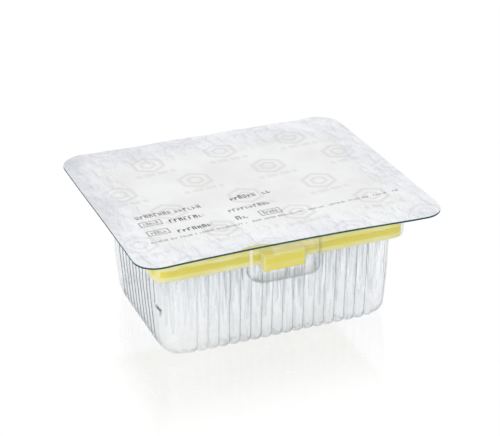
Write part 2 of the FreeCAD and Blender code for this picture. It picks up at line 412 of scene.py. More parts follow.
def tray_rings(tray, stations, flange_under):
    """Rings of the pockets' outer face from the base upwards, each a list of points."""
    rings = []

    def fluted(level, inset, lug, depth):
        """One ring. Its level and inset come from each station's own round into the base."""
        ring = []
        for station in stations:
            radius = base_radius(tray, station)
            point = fluted_point(tray, station, inset(radius), lug, depth)
            ring.append(point + Vector((0, POCKET_Y, level(radius))))
        rings.append(ring)

    def rounded(z, grow):
        """One ring of the upper pocket, at a height and grown by its draft."""
        length, depth = tray.upper_length + 2.0 * grow, tray.upper_depth + 2.0 * grow
        rings.append([rounded_point(station, length, depth, tray.upper_corner + grow) + Vector((0, POCKET_Y, z))
                      for station in stations])

    # the round out of the base
    base_inset = tray.upper_inset + tray.lower_inset
    for angle_deg in (90, 75, 60, 45, 30, 15, 0):
        up, out = 1.0 - math.sin(math.radians(angle_deg)), 1.0 - math.cos(math.radians(angle_deg))
        fade = 1.0 - (1.0 - tray.base_share) * angle_deg / 90.0
        fluted(lambda radius: radius * up, lambda radius: base_inset + radius * out, 0.0, tray.flute_lower * fade)
    # the wall below the step, and the step
    high = tray.step_height
    for share in (0.25, 0.5, 0.75, 0.95):
        fluted(lambda radius: radius + (high - radius) * share, lambda radius: base_inset - tray.lower_inset * share,
               0.0, tray.flute_lower)
    for rise, share in ((-0.25, 0.12), (0.05, 0.5), (0.3, 0.88), (0.6, 1.0)):
        fluted(lambda radius: high + rise * MM, lambda radius: tray.upper_inset, tray.lug * share,
               tray.flute_lower + (tray.flute_upper - tray.flute_lower) * share)
    # the wall above the step, and its round onto the ledge
    low, high = tray.step_height, tray.ledge_height
    for share in (0.2, 0.4, 0.6, 0.8, 0.96):
        fluted(lambda radius: low + (high - low) * share, lambda radius: tray.upper_inset * (1.0 - share), tray.lug,
               tray.flute_upper)
    for drop, out, share in ((0.25, 0.08, 1.0), (0.05, 0.28, 1.0), (0.0, 0.6, 0.9)):
        fluted(lambda radius: high - drop * MM, lambda radius: -out * MM, tray.lug, tray.flute_upper * share)
    # the round out of the ledge, and the upper pocket's wall
    for angle_deg in (90, 67.5, 45, 22.5, 0):
        angle = math.radians(angle_deg)
        height = LEDGE_ROUND * (1.0 - math.sin(angle))
        rounded(high + height, math.tan(tray.upper_draft) * height - LEDGE_ROUND * (1.0 - math.cos(angle)))
    for z in (high + 4 * MM, high + 8 * MM, high + 12 * MM, flange_under - 1.6 * MM, flange_under + 1.2 * MM):
        rounded(z, math.tan(tray.upper_draft) * (z - high))
    return rings


def extrude_ring(piece, ring, points):
    """Extrude the selected ring once and move its new vertices to their points."""
    bpy.ops.mesh.extrude_region_move(TRANSFORM_OT_translate={"value": (0.0, 0.0, 0.01)})
    cage = bmesh.from_edit_mesh(piece.data)
    cage.verts.ensure_lookup_table()
    old = {index: place for place, index in enumerate(ring)}
    above = [0] * len(ring)
    for vertex in cage.verts:
        if vertex.select:
            ends = [edge.other_vert(vertex) for edge in vertex.link_edges]
            place = old[next(end.index for end in ends if not end.select)]
            above[place] = vertex.index
            vertex.co = points[place]
    bmesh.update_edit_mesh(piece.data)
    return above


def make_pocket(tray, flange_under):
    """The closed outer form of the two pockets: a circle, extruded ring by ring."""
    stations = tray_stations(tray)
    rings = tray_rings(tray, stations, flange_under)
    deselect_all()
    bpy.ops.mesh.primitive_circle_add(vertices=len(stations), radius=tray.pocket_depth / 2.0, fill_type="NOTHING")
    pocket = named("tray_shell")
    bpy.ops.object.mode_set(mode="EDIT")
    cage = bmesh.from_edit_mesh(pocket.data)
    cage.verts.ensure_lookup_table()
    start = (rings[0][0].to_2d() - Vector((0, POCKET_Y))).normalized()
    order = sorted(range(len(stations)), key=lambda i: math.atan2(cage.verts[i].co.y, cage.verts[i].co.x))
    offset = min(range(len(order)), key=lambda i: (cage.verts[order[i]].co.to_2d().normalized() - start).length)
    ring = order[offset:] + order[:offset]
    for place, index in enumerate(ring):
        cage.verts[index].co = rings[0][place]
    bmesh.update_edit_mesh(pocket.data)
    bpy.ops.mesh.select_all(action="SELECT")
    bpy.ops.mesh.edge_face_add()
    select_edges(pocket, lambda edge: True)
    for points in rings[1:]:
        ring = extrude_ring(pocket, ring, points)
    bpy.ops.mesh.edge_face_add()
    bpy.ops.mesh.select_all(action="SELECT")
    bpy.ops.mesh.normals_make_consistent(inside=False)
    bpy.ops.object.mode_set(mode="OBJECT")
    return pocket


def make_tab_pocket(tray, flange_under, back):
    """The closed outer form of the pocket for the tab: a cube with its corners and bottom rounded."""
    top = flange_under + 2.2 * MM
    size = Vector((tray.tab_width, back - tray.tab_front, top - tray.tab_bottom))
    place = Vector((0.0, (back + tray.tab_front) / 2.0, (top + tray.tab_bottom) / 2.0))
    deselect_all()
    bpy.ops.mesh.primitive_cube_add(size=1.0, location=place, scale=size)
    block = named("tab_pocket_form")
    bpy.ops.object.mode_set(mode="EDIT")
    select_edges(block, lambda edge: stands_up(edge) and middle(edge).y < tray.tab_front + 0.1 * MM)
    bpy.ops.mesh.bevel(offset=tray.tab_corner, segments=10, affect="EDGES")
    select_edges(block, lambda edge: max(vertex.co.z for vertex in edge.verts) < tray.tab_bottom + 0.1 * MM
                 and middle(edge).y < back - 0.1 * MM)
    bpy.ops.mesh.bevel(offset=tray.tab_round, segments=8, affect="EDGES")
    bpy.ops.object.mode_set(mode="OBJECT")
    return block


def make_tray_shell(tray):
    """The whole drawn sheet: pockets joined, cut open at the flange, and flange filled in."""
    low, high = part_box("blister_tray")
    flange_under = high.z - tray.rim
    back = POCKET_Y - tray.pocket_depth / 2.0 + 2.0 * tray.corner

    def level(edge):
        """Whether an edge lies in the flange's underside."""
        return all(abs(vertex.co.z - flange_under) < CLOSE for vertex in edge.verts)

    shell = make_pocket(tray, flange_under)
    block = make_tab_pocket(tray, flange_under, back)
    finish_modifier(shell, "BOOLEAN", "tab", operation="UNION", object=block, solver="EXACT")
    bpy.data.objects.remove(block)
    only(shell)
    bpy.ops.object.mode_set(mode="EDIT")
    bpy.ops.mesh.select_all(action="SELECT")
    bpy.ops.mesh.remove_doubles(threshold=CLOSE)
    bpy.ops.mesh.bisect(plane_co=(0.0, 0.0, flange_under), plane_no=(0.0, 0.0, 1.0), clear_outer=True)
    bpy.ops.mesh.select_all(action="DESELECT")
    bpy.ops.mesh.primitive_plane_add(size=1.0, location=(0.0, 0.0, flange_under))
    bpy.ops.transform.resize(value=(high.x - low.x, high.y - low.y, 1.0), center_override=(0.0, 0.0, flange_under))
    bpy.ops.mesh.bevel(offset=tray.flange_corner, segments=14, affect="VERTICES")
    bpy.ops.mesh.delete(type="ONLY_FACE")
    # the flange's long straight edges are cut fine, so that they can bow, and its sheet is then filled in
    select_edges(shell, lambda edge: level(edge) and not edge.link_faces and edge.calc_length() > 20 * MM)
    bpy.ops.mesh.subdivide(number_cuts=40)
    select_edges(shell, lambda edge: level(edge) and len(edge.link_faces) < 2)
    bpy.ops.mesh.fill()
    bpy.ops.mesh.select_all(action="SELECT")
    bpy.ops.mesh.normals_make_consistent(inside=False)
    # an open shell can come out inside out, so its base decides
    base = min(bmesh.from_edit_mesh(shell.data).faces, key=lambda face: middle(face).z)
    if base.normal.z > 0.0:
        bpy.ops.mesh.flip_normals()
    bpy.ops.object.mode_set(mode="OBJECT")
    return shell


# How much painted shade darkens the flutes' folds: on the long sides outside and inside, on the short sides above and
# below the step.
FOLD_LONG, FOLD_LONG_INSIDE, FOLD_SHORT_UPPER, FOLD_SHORT_LOWER = 1.0, 0.35, 2.4, 3.6
# How much painted shade darkens the tab pocket's bottom and right-hand rounds, and how much darker the left end of
# the bottom is painted.
ROUND_BOTTOM, ROUND_RIGHT, ROUND_LEFT = 0.18, 0.12, 0.3
# The painted dark hook, a line of shade over the shoulder of the left denesting lug: its right limit, and its back
# and front ends.
HOOK_X, HOOK_BACK, HOOK_FRONT = -53.0 * MM, -30.5 * MM, -37.2 * MM


def fold_darkness(tray, x, y, z, outer):
    """How much painted shade a fold gets at a place on the sheet's outer or inner face, and 0 where there are no
    flutes.
    """
    wall, beyond = 8 * MM, 1.5 * MM
    front = (abs(y - POCKET_Y) > tray.pocket_depth / 2.0 - wall
             and abs(x) < tray.flute_pitch * tray.flutes_long / 2.0 + beyond)
    end = (abs(x) > tray.pocket_length / 2.0 - wall
           and abs(y - POCKET_Y) < tray.pocket_depth / 2.0 - tray.column + beyond)
    if not (front or end) or not 0.05 * MM < z < tray.ledge_height - 0.6 * MM:
        return 0.0
    if front and outer:
        # the painted fold shade fades towards the long side's left end
        return FOLD_LONG * (1.0 - 0.55 * progress(x, -20 * MM, -42 * MM))
    if front:
        return FOLD_LONG_INSIDE * progress(x, -46 * MM, -30 * MM)
    if outer:
        return FOLD_SHORT_UPPER if z > tray.step_height else FOLD_SHORT_LOWER
    return 0.0


def round_darkness(tray, x, y, z):
    """How much painted shade darkens the tab pocket's rounds and the lug's hook, from 0 to 1."""
    if y < -44.5 * MM and z < tray.ledge_height + 16 * MM and abs(x) < tray.tab_width / 2.0 + 0.3 * MM:
        above = z - tray.tab_bottom
        if not -0.3 * MM < above < 2.6 * MM:
            return ROUND_RIGHT if x > 14.5 * MM else 0.0
        return ROUND_BOTTOM + (ROUND_LEFT * progress(x, -9 * MM, -14 * MM) if above < 1 * MM else 0.0)
    # the hook lies along the shoulder, fades backwards, and turns down at its front end
    above = z - tray.step_height
    if x < HOOK_X and -0.3 * MM < above < 0.4 * MM and HOOK_FRONT < y < HOOK_BACK:
        full = min(1.0, 0.25 + progress(y, HOOK_BACK, HOOK_BACK - 5 * MM))
        return full if above < 0.1 * MM else 0.5 * full
    if x < HOOK_X and -1.6 * MM < above < -0.3 * MM and HOOK_FRONT < y < HOOK_FRONT + 1.3 * MM:
        return 0.6
    return 0.0


def finish_sheet(shell, tray):
    """Level the flange's face, let its edge follow the seal's bow, and mark where folds and rounds get painted shade.
    """
    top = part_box("blister_tray")[1].z
    fold_shade = shell.data.attributes.new("fold_shade", "FLOAT", "POINT")
    round_shade = shell.data.attributes.new("round_shade", "FLOAT", "POINT")
    # the outer face's vertices come first
    outside = len(shell.data.vertices) // 2
    for vertex in shell.data.vertices:
        x, y, z = vertex.co
        if z > top - tray.rim + 0.3 * MM:
            vertex.co.z = top
        if z > top - tray.rim - 0.1 * MM:
            vertex.co.z -= edge_wave(x, y)
            vertex.co.y += edge_bow(x, y)
        fold_shade.data[vertex.index].value = fold_darkness(tray, x, y, z, vertex.index < outside)
        round_shade.data[vertex.index].value = round_darkness(tray, x, y, z)


def edge_wave(x, y):
    """How far the sealed edge lies below the seal's level: ripples at the back, a slight bow in front."""
    x, y = x / MM, y / MM
    back = progress(y, 44.0, 60.0)
    side = progress(x, -62.0, -71.0) * progress(y, -10.0, 30.0)
    ripple = 0.5 + 0.5 * math.sin(x / 4.3 + 1.1 * math.sin(x / 9.7)) * math.sin(x / 13.0 + 0.7)
    front = progress(y, -48.0, -62.0)
    return MM * (0.5 * max(back, side) * ripple + 0.3 * front * (x / 72.5) ** 2)


def edge_bow(x, y):
    """How far the front edge bows inwards, most a little left of the middle."""
    x, y = x / MM, y / MM
    return 1.8 * MM * max(0.0, 1.0 - ((x + 8.0) / 62.0) ** 2) * progress(y, -54.5, -64.0)


class REFILL_OT_tray(Operator):
    """Build the clear fluted tray and its flange"""

    bl_idname = "refill.tray"
    bl_label = "Tray"

    def execute(self, context):
        tray = context.scene.refill_tray
        shell = make_tray_shell(tray)
        shell.data.materials.append(sheet_material(tray))
        shell.data.materials.append(edge_material(tray))
        finish_modifier(shell, "SOLIDIFY", "wall", thickness=tray.wall, offset=-1.0, use_even_offset=True,
                        use_quality_normals=True, material_offset_rim=1)
        finish_sheet(shell, tray)
        only(shell)
        bpy.ops.object.shade_smooth_by_angle(angle=math.radians(72.0))
        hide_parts("blister_tray")
        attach(shell, "root")
        return {"FINISHED"}


def only_front(add, shader):
    """Clear for a face seen from behind, so that each wall of a closed sheet is drawn once."""
    side = add("NewGeometry").outputs["Backfacing"]
    hidden = add("BsdfTransparent")
    return add("MixShader", {0: side, 1: shader, 2: hidden})


# Where the tab's pocket catches the window's light, in mm: middle in x and z, half sizes, strength.
GLEAMS = ((2.0, 51.2, 10.2, 2.0, 0.14), (-16.8, 44.0, 0.5, 8.0, 0.45))


def gleam_mask(add, place):
    """Pale bands on the front of the tab's pocket."""
    parts = add("SeparateXYZ", {0: place}).outputs
    flat = add("CombineXYZ", {0: parts[0], 1: parts[2]})
    flat = add("VectorMath", {0: flat, "Scale": 1000.0}, operation="SCALE")
    bands = []
    for x, z, half_x, half_z, strength in GLEAMS:
        distance = block_distance(add, flat, x, z, half_x, half_z)
        bands.append(add("MapRange", {0: distance, 1: 0.35, 2: -0.35, 4: strength}, **SOFT))
    both = add("Math", {0: bands[0], 1: bands[1]}, operation="MAXIMUM")
    front = add("MapRange", {0: parts[1], 1: -0.0473, 2: -0.0477}, **SOFT)
    return add("Math", {0: both, 1: front}, operation="MULTIPLY")


# Zones of the sheet, in metres: the axis, where the zone begins and where it is full.
ZONES = {
    "inward": (0, -0.055, -0.053),  # all but the left end's wall
    "left": (0, -0.02, -0.04),
    "right": (0, 0.05, 0.053),
    "front": (1, -0.033, -0.036),
    "base": (2, 0.0007, 0.0015),  # all but the base
    "scuffed": (2, 0.0065, 0.003),
    "foot": (2, 0.024, 0.009),
    "lower": (2, 0.0225, 0.021),
    "stretched": (2, 0.008, 0.032),
    "fluted": (2, 0.0422, 0.0412),  # all that lies below the ledge
}


def sheet_zones(add, place):
    """How much of each zone a place lies in, by the zone's name, from 0 to 1."""
    axes = add("SeparateXYZ", {0: place}).outputs
    zones = {name: add("MapRange", {0: axes[axis], 1: begin, 2: full}, **SOFT)
             for name, (axis, begin, full) in ZONES.items()}
    # the right end's front corner, and all but the rest of that end
    zones["corner"] = add("Math", {0: zones["right"], 1: zones["front"]}, operation="MULTIPLY")
    behind = add("Math", {0: zones["right"], 1: zones["corner"]}, operation="SUBTRACT")
    zones["marked"] = add("Math", {0: 1.0, 1: behind}, operation="SUBTRACT")
    return zones


def sheet_lines(add, zones, facing, round_shade, thin):
    """How dark the clean sheet is, with painted shade along its folds, where it turns edge-on, and in its rounds."""
    # painted shade: a tight fold gets a dark line about 0.4 mm wide, standing in for light that runs along inside the
    # sheet there, and the tightest folds have the thinnest lines
    fold_shade = add("Attribute", attribute_name="fold_shade").outputs["Fac"]
    tight = add("MapRange", {0: fold_shade, 1: 1.0, 2: 2.0, 4: 0.03})
    turned = add("Math", {0: facing, 1: tight}, operation="SUBTRACT")
    fold = add("MapRange", {0: turned, 1: 0.52, 2: 0.68, 4: 0.5}, **SOFT)
    fold = add("Math", {0: fold, 1: fold_shade}, operation="MULTIPLY", use_clamp=True)
    # any edge-on sheet dims, and painted shade makes it dim most in the lower part of the right end's front corner,
    # and least at the left end
    rim = add("MapRange", {0: facing, 1: 0.6, 2: 0.97, 4: 0.42}, **SOFT)
    clear = add("Math", {0: zones["inward"], 1: 0.75, 2: 0.25}, operation="MULTIPLY_ADD")
    lower = add("Math", {0: zones["corner"], 1: zones["lower"]}, operation="MULTIPLY")
    deeper = add("Math", {0: lower, 1: 0.7, 2: clear}, operation="MULTIPLY_ADD")
    for part in (deeper, zones["marked"], thin):
        rim = add("Math", {0: rim, 1: part}, operation="MULTIPLY")
    line = add("Math", {0: fold, 1: rim}, operation="MAXIMUM")
    line = add("Math", {0: line, 1: round_shade}, operation="MAXIMUM")
    slow = add("Math", {0: facing, 1: 3.0}, operation="POWER")
    return add("Math", {0: slow, 1: 0.1, 2: line}, operation="MULTIPLY_ADD", use_clamp=True)


def sheet_wear_and_highlights(add, place, zones, round_shade, thin, dark):
    """Scuffs, streaks, frosting and painted highlights on the tab's pocket: the sheet's darkness with them, and how
    milky and pale it is.
    """
    # the foot of the wall is speckled with scuffs
    speckle = add("TexNoise", {"Vector": place, "Scale": 520.0, "Detail": 2.0})
    bright = add("MapRange", {0: speckle, 1: 0.5, 2: 0.7, 4: 0.22}, **SOFT)
    dull = add("MapRange", {0: speckle, 1: 0.55, 2: 0.3, 3: 0.04, 4: 0.32}, **SOFT)
    low = zones["scuffed"]
    for part in (zones["base"], zones["marked"]):
        low = add("Math", {0: low, 1: part}, operation="MULTIPLY")
    bright = add("Math", {0: bright, 1: low}, operation="MULTIPLY")
    dark = add("Math", {0: dull, 1: low, 2: dark}, operation="MULTIPLY_ADD", use_clamp=True)
    # fine upright dark and pale streaks, 0.7 mm wide: most in the upper half, fewer at the left of the long sides,
    # and none at the left end and in the tab's pocket
    drawn = add("Mapping", {"Vector": place, "Scale": (1.0, 1.0, 0.04)})
    streak = add("TexNoise", {"Vector": drawn, "Scale": 900.0, "Detail": 2.0})
    fewer = add("Math", {0: zones["left"], 1: -0.55, 2: zones["inward"]}, operation="MULTIPLY_ADD", use_clamp=True)
    high = add("Math", {0: zones["stretched"], 1: 0.7, 2: 0.3}, operation="MULTIPLY_ADD")
    for part in (zones["fluted"], thin, fewer):
        high = add("Math", {0: high, 1: part}, operation="MULTIPLY")
    dim = add("MapRange", {0: streak, 1: 0.53, 2: 0.66, 4: 0.32}, **SOFT)
    dark = add("Math", {0: dim, 1: high, 2: dark}, operation="MULTIPLY_ADD", use_clamp=True)
    pale = add("MapRange", {0: streak, 1: 0.47, 2: 0.36, 4: 0.22}, **SOFT)
    pale = add("Math", {0: pale, 1: high}, operation="MULTIPLY")
    # the foot is a little grey, apart from its left end
    rest = add("Math", {0: 1.0, 1: zones["left"]}, operation="SUBTRACT")
    grey = add("Math", {0: zones["foot"], 1: rest}, operation="MULTIPLY")
    dark = add("Math", {0: grey, 1: 0.045, 2: dark}, operation="MULTIPLY_ADD", use_clamp=True)
    # the left of the long sides is a little frosted, and no frost shows where the sheet is darkest
    left = zones["left"]
    for part in (zones["fluted"], zones["inward"]):
        left = add("Math", {0: left, 1: part}, operation="MULTIPLY")
    frost_and_highlight = add("Math", {0: left, 1: 0.14, 2: pale}, operation="MULTIPLY_ADD")
    # the bright scuffs and the painted highlights on the tab's pocket join in here
    for other in (bright, gleam_mask(add, place)):
        frost_and_highlight = add("Math", {0: frost_and_highlight, 1: other}, operation="MAXIMUM")
    spared = add("MapRange", {0: round_shade, 1: 0.2, 2: 0.35, 3: 1.0, 4: 0.0})
    return dark, add("Math", {0: frost_and_highlight, 1: spared, 2: 0.04}, operation="MULTIPLY_ADD")


def sheet_material(tray):
    """Clear PET sheet, thermoformed: it passes light face-on, darkens where its folds turn edge-on, and shines; its
    folds and rounds get painted shade, and its tab's pocket painted highlights.
    """
    material, add = new_material("thermoformed_pet_sheet")
    place = add("TexCoord").outputs["Object"]
    # drawing leaves slow ripples about 9 mm apart, stretched down the wall
    stretched = add("Mapping", {"Vector": place, "Scale": (1.0, 1.0, 0.25)})
    ripple = add("TexNoise", {"Vector": stretched, "Scale": 110.0, "Detail": 2.0})
    bump = add("Bump", {"Height": ripple, "Distance": 0.0004, "Strength": 0.5})
    facing = add("LayerWeight", {"Blend": 0.5, "Normal": bump}).outputs["Facing"]
    # painted shade on the rounds of the tab's pocket and on a lug's shoulder
    round_shade = add("Attribute", attribute_name="round_shade").outputs["Fac"]
    # 1 away from the rounds' painted shade, 0 in it
    thin = add("MapRange", {0: round_shade, 1: 0.12, 2: 0.02}, **SOFT)
    zones = sheet_zones(add, place)
    dark = sheet_lines(add, zones, facing, round_shade, thin)
    dark, frost_and_highlight = sheet_wear_and_highlights(add, place, zones, round_shade, thin, dark)
    # the painted shade in the rounds takes the colour of a cut edge
    deep = add("Mix", {0: thin, 6: tray.edge, 7: tray.grazing}, data_type="RGBA").outputs[2]
    tint = add("Mix", {0: dark, 6: tray.clear, 7: deep}, data_type="RGBA").outputs[2]
    through = add("BsdfTransparent", {"Color": tint})
    haze = add("BsdfDiffuse", {"Color": from_hex("#FBFCFF")})
    hazed_and_highlit = add("MixShader", {0: frost_and_highlight, 1: through, 2: haze})
    gloss = add("BsdfGlossy", {"Color": from_hex("#FAFAFC"), "Roughness": 0.07, "Normal": bump})
    shine = add("Fresnel", {"IOR": 1.57, "Normal": bump})
    film = add("MixShader", {0: shine, 1: hazed_and_highlit, 2: gloss})
    add("OutputMaterial", {"Surface": only_front(add, film)})
    return material


def edge_material(tray):
    """Cut edge of the sheet: light travels along the sheet and leaves as a dark teal line."""
    material, add = new_material("sheared_pet_edge")
    place = add("TexCoord").outputs["Object"]
    # its depth changes every 17 mm or so, from a fifth darker to a third lighter
    uneven = add("TexNoise", {"Vector": place, "Scale": 60.0, "Detail": 1.0})
    ramp = add("ValToRGB", {"Fac": uneven})
    ramp.color_ramp.elements[0].color = (*(c * 0.8 for c in tray.edge), 1.0)
    ramp.color_ramp.elements[1].color = (*(min(c * 1.3, 1.0) for c in tray.edge), 1.0)
    solid = add("BsdfPrincipled", {"Base Color": ramp, "Roughness": 0.55, "IOR": 1.57, "Specular IOR Level": 0.2})
    add("OutputMaterial", {"Surface": solid})
    return material


# ---------------------------------------------------------------- lid


# The paper sags within this distance of the pocket's middle, and is at its lowest this much further in.
SAG_X, SAG_Y, SAG_RUN = 60.0 * MM, 44.0 * MM, 20.0 * MM


class REFILL_OT_lid(Operator):
    """Build the sealed paper with its thumb notch"""

    bl_idname = "refill.lid"
    bl_label = "Paper lid"

    def execute(self, context):
        lid = context.scene.refill_lid
        tray = context.scene.refill_tray
        low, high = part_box("lid_film")
        size = high - low
        deselect_all()
        bpy.ops.mesh.primitive_grid_add(x_subdivisions=98, y_subdivisions=86, size=1.0,
                                        location=(0.0, 0.0, high.z - lid.thickness))
        paper = named("lid_paper")
        bpy.ops.object.mode_set(mode="EDIT")
        bpy.ops.mesh.select_all(action="SELECT")
        bpy.ops.transform.resize(value=(size.x, size.y, 1.0), center_override=(0.0, 0.0, low.z))
        bpy.ops.mesh.extrude_region_move(TRANSFORM_OT_translate={"value": (0.0, 0.0, lid.thickness)})
        bpy.ops.mesh.select_all(action="SELECT")
        bpy.ops.mesh.normals_make_consistent(inside=False)
        bpy.ops.object.mode_set(mode="OBJECT")
        # the slab is cut to its rounded outline by a tall block, and its thumb notch is cut by a cylinder
        deselect_all()
        bpy.ops.mesh.primitive_cube_add(size=1.0, location=(0.0, 0.0, high.z), scale=(size.x, size.y, 0.01))
        outline = named("lid_outline_form")
        bpy.ops.object.mode_set(mode="EDIT")
        select_edges(outline, stands_up)
        bpy.ops.mesh.bevel(offset=tray.flange_corner, segments=14, affect="EDGES")
        bpy.ops.object.mode_set(mode="OBJECT")
        finish_modifier(paper, "BOOLEAN", "outline", operation="INTERSECT", object=outline, solver="EXACT")
        bpy.data.objects.remove(outline)
        radius = arc_radius(lid.notch_width, lid.notch_depth)
        deselect_all()
        bpy.ops.mesh.primitive_cylinder_add(vertices=160, radius=radius, depth=0.01,
                                            location=(lid.notch_x, low.y + lid.notch_depth - radius, high.z))
        thumb = named("lid_notch_form")
        finish_modifier(paper, "BOOLEAN", "notch", operation="DIFFERENCE", object=thumb, solver="EXACT")
        bpy.data.objects.remove(thumb)
        # the paper sags a little over the pocket, and its edge follows the flange
        for vertex in paper.data.vertices:
            x, y = vertex.co.x, vertex.co.y
            inside = min(progress(abs(x), SAG_X, SAG_X - SAG_RUN),
                         progress(abs(y - POCKET_Y), SAG_Y, SAG_Y - SAG_RUN))
            dents = 0.6 + 0.4 * math.sin(x / (8.3 * MM) + 1.3 * math.sin(y / (11.0 * MM)))
            vertex.co.z -= edge_wave(x, y) + lid.relief * inside * inside * (3.0 - 2.0 * inside) * dents
            vertex.co.y += edge_bow(x, y)
        only(paper)
        bpy.ops.object.shade_smooth_by_angle(angle=math.radians(30.0))
        paper.data.materials.append(paper_material(lid))
        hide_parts("lid_film")
        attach(paper, "root")
        return {"FINISHED"}


# The print's blocks on the paper, in mm along and across its lines: middle, half sizes, stroke step, kind.
PRINT = (
    (-51.4, -11.5, 8.4, 1.9, 2.2, "words"),
    (-34.4, -11.5, 6.6, 1.9, 2.2, "words"),
    (-6.9, -11.5, 6.6, 1.9, 2.2, "bold"),
    (4.9, -11.5, 2.2, 1.9, 2.2, "bold"),
    (-55.4, -19.2, 5.0, 2.2, 1.5, "box"),
    (-38.8, -20.4, 8.3, 1.6, 2.35, "bold"),
    (-8.8, -22.6, 10.4, 1.7, 2.1, "words"),
    (-55.6, -28.8, 4.9, 2.3, 1.5, "box"),
    (-39.2, -31.3, 8.3, 1.6, 2.35, "bold"),
    (-16.2, -31.2, 3.2, 1.9, 3.2, "words"),
    (-2.6, -31.6, 5.0, 2.4, 1.5, "box"),
    (-1.2, -37.4, 61.2, 0.85, 1.15, "fine"),
)
PRINT_TURN = math.radians(3.4)


def block_distance(add, place, x, y, half_x, half_y):
    """Distance outside a block in mm, negative inside it."""
    moved = add("VectorMath", {0: place, 1: (x, y, 0.0)}, operation="SUBTRACT")
    folded = add("VectorMath", {0: moved}, operation="ABSOLUTE")
    beyond = add("VectorMath", {0: folded, 1: (half_x, half_y, 0.0)}, operation="SUBTRACT")
    parts = add("SeparateXYZ", {0: beyond}).outputs
    return add("Math", {0: parts[0], 1: parts[1]}, operation="MAXIMUM")


def greeking(add, place, x, y, half_x, half_y, step, seed, gaps):
    """Unreadable upright and level strokes inside one block, at random, with gaps: 1 on a stroke, 0 beside it."""
    inside = add("MapRange", {0: block_distance(add, place, x, y, half_x, half_y), 1: 0.1, 2: -0.1}, **SOFT)
    scaled = add("VectorMath", {0: place, 1: (1.0 / step, 0.5 / half_y, 0.0),
                                2: ((half_x - x) / step + seed, 0.5 - 0.5 * y / half_y, 0.0)},
                 operation="MULTIPLY_ADD")
    parts = add("SeparateXYZ", {0: scaled})
    height = parts.outputs[1]
    cell = add("Math", {0: parts}, operation="FLOOR")
    across = add("Math", {0: parts}, operation="FRACT")
    chance = add("TexWhiteNoise", {"W": cell}, noise_dimensions="1D")
    dice = add("SeparateXYZ", {0: chance.outputs["Color"]})
    first, second, third = dice.outputs
    # one or two uprights of different heights, and one level stroke at any height
    stem = add("Math", {0: across, 1: 0.28}, operation="LESS_THAN")
    other = add("Math", {0: across, 1: 0.6, 2: 0.13}, operation="COMPARE")
    twice = add("Math", {0: first, 1: 0.45}, operation="GREATER_THAN")
    other = add("Math", {0: other, 1: twice}, operation="MULTIPLY")
    upright = add("Math", {0: stem, 1: other}, operation="MAXIMUM")
    tall = add("Math", {0: first, 1: 0.5, 2: 0.6}, operation="MULTIPLY_ADD")
    under = add("Math", {0: height, 1: tall}, operation="LESS_THAN")
    upright = add("Math", {0: upright, 1: under}, operation="MULTIPLY")
    level = add("Math", {0: height, 1: second, 2: 0.12}, operation="COMPARE")
    short = add("Math", {0: across, 1: 0.73}, operation="LESS_THAN")
    level = add("Math", {0: level, 1: short}, operation="MULTIPLY")
    strokes = add("Math", {0: upright, 1: level}, operation="MAXIMUM")
    strokes = add("Math", {0: strokes, 1: inside}, operation="MULTIPLY")
    # the ink lies heavier on some strokes than on others, and a gap parts one word from the next
    weight = add("Math", {0: second, 1: 0.35, 2: 0.75}, operation="MULTIPLY_ADD", use_clamp=True)
    there = add("Math", {0: third, 1: gaps}, operation="GREATER_THAN")
    there = add("Math", {0: there, 1: weight}, operation="MULTIPLY")
    return add("Math", {0: strokes, 1: there}, operation="MULTIPLY")


def print_mask(add, place):
    """How much ink lies on the paper: greeked words, framed marks and one fine line."""
    total = None
    for seed, (x, y, half_x, half_y, step, kind) in enumerate(PRINT):
        strength = {"bold": 1.0, "words": 0.8, "box": 0.75, "fine": 0.75}[kind]
        if kind == "box":
            edge = add("Math", {0: block_distance(add, place, x, y, half_x, half_y)}, operation="ABSOLUTE")
            edge = add("MapRange", {0: edge, 1: 0.34, 2: 0.14}, **SOFT)
            marks = greeking(add, place, x, y, half_x - 1.4, half_y - 0.9, step, 20.0 * seed, 0.0)
            ink = add("Math", {0: edge, 1: marks}, operation="MAXIMUM")
        else:
            ink = greeking(add, place, x, y, half_x, half_y, step, 20.0 * seed, 0.15 if kind == "fine" else 0.0)
        ink = add("Math", {0: ink, 1: strength}, operation="MULTIPLY")
        if total is not None:
            ink = add("Math", {0: total, 1: ink}, operation="MAXIMUM")
        total = ink
    return total


